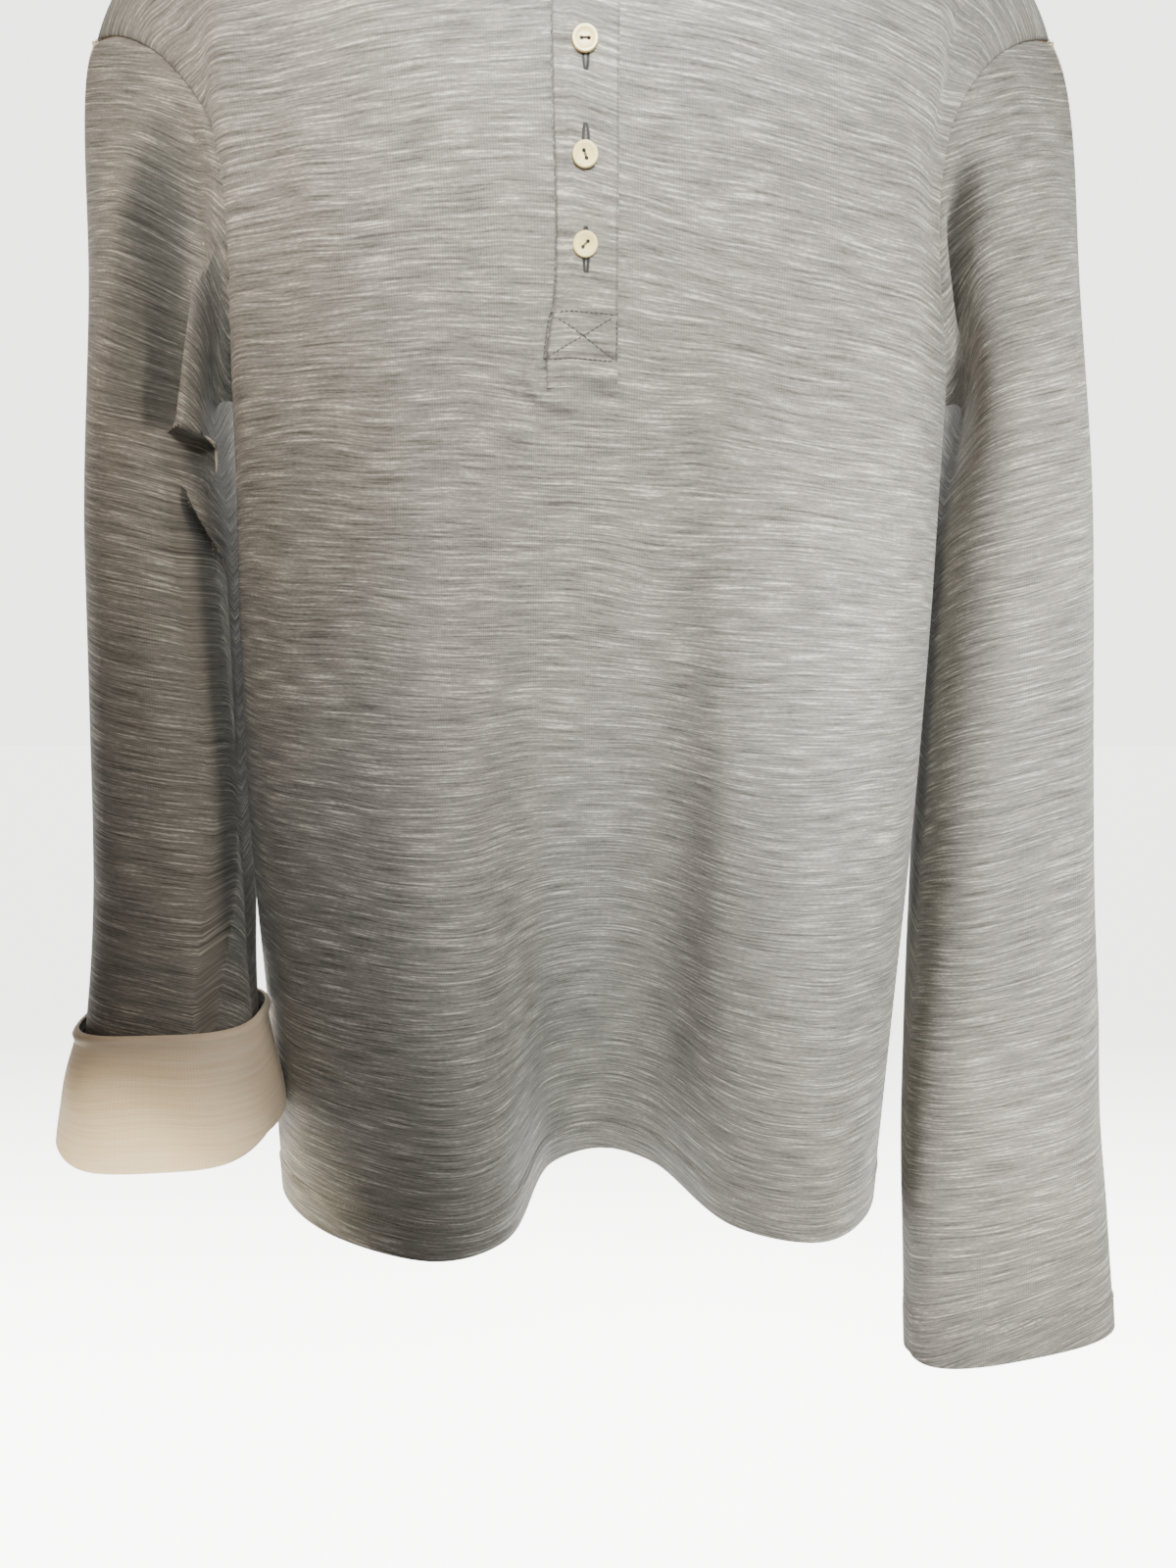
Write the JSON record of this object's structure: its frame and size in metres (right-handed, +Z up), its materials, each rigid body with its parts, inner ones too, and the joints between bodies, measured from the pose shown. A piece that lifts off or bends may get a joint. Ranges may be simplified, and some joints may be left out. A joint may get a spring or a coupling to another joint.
{
  "type": "rugby shirt",
  "caption": "Long-sleeved rugby shirt in grey melange double-faced knit with a cream inside, a turned-down collar, a buttoned placket and a turned-back cuff, filled out as worn.",
  "frame": {"origin": "midway between the two high shoulder points, on the middle plane of the shirt, where a wearer's shoulders hold it", "axes": "+X towards the sleeve with the plain cuff, -Y out of the front, +Z up"},
  "size_m": [0.571, 0.2194, 0.7637],
  "materials": {
    "melange_knit": "matte melange jersey with fine horizontal slub flecks, cream on its inside face",
    "cream_knit": "matte smooth cream jersey, the inside face of the cloth",
    "cream_button": "satin cream, two holes"
  },
  "bodies": {
    "root": {"front_panel": "melange_knit", "back_panel": "melange_knit", "placket_over_strip": "melange_knit", "placket_under_strip": "melange_knit", "sleeve_plain": "melange_knit", "sleeve_turned": "melange_knit", "cuff_turn_back": "cream_knit", "collar_stand": "melange_knit", "collar_leaf": "melange_knit", "button_1": "cream_button", "button_2": "cream_button", "button_3": "cream_button"}
  },
  "joints": []
}
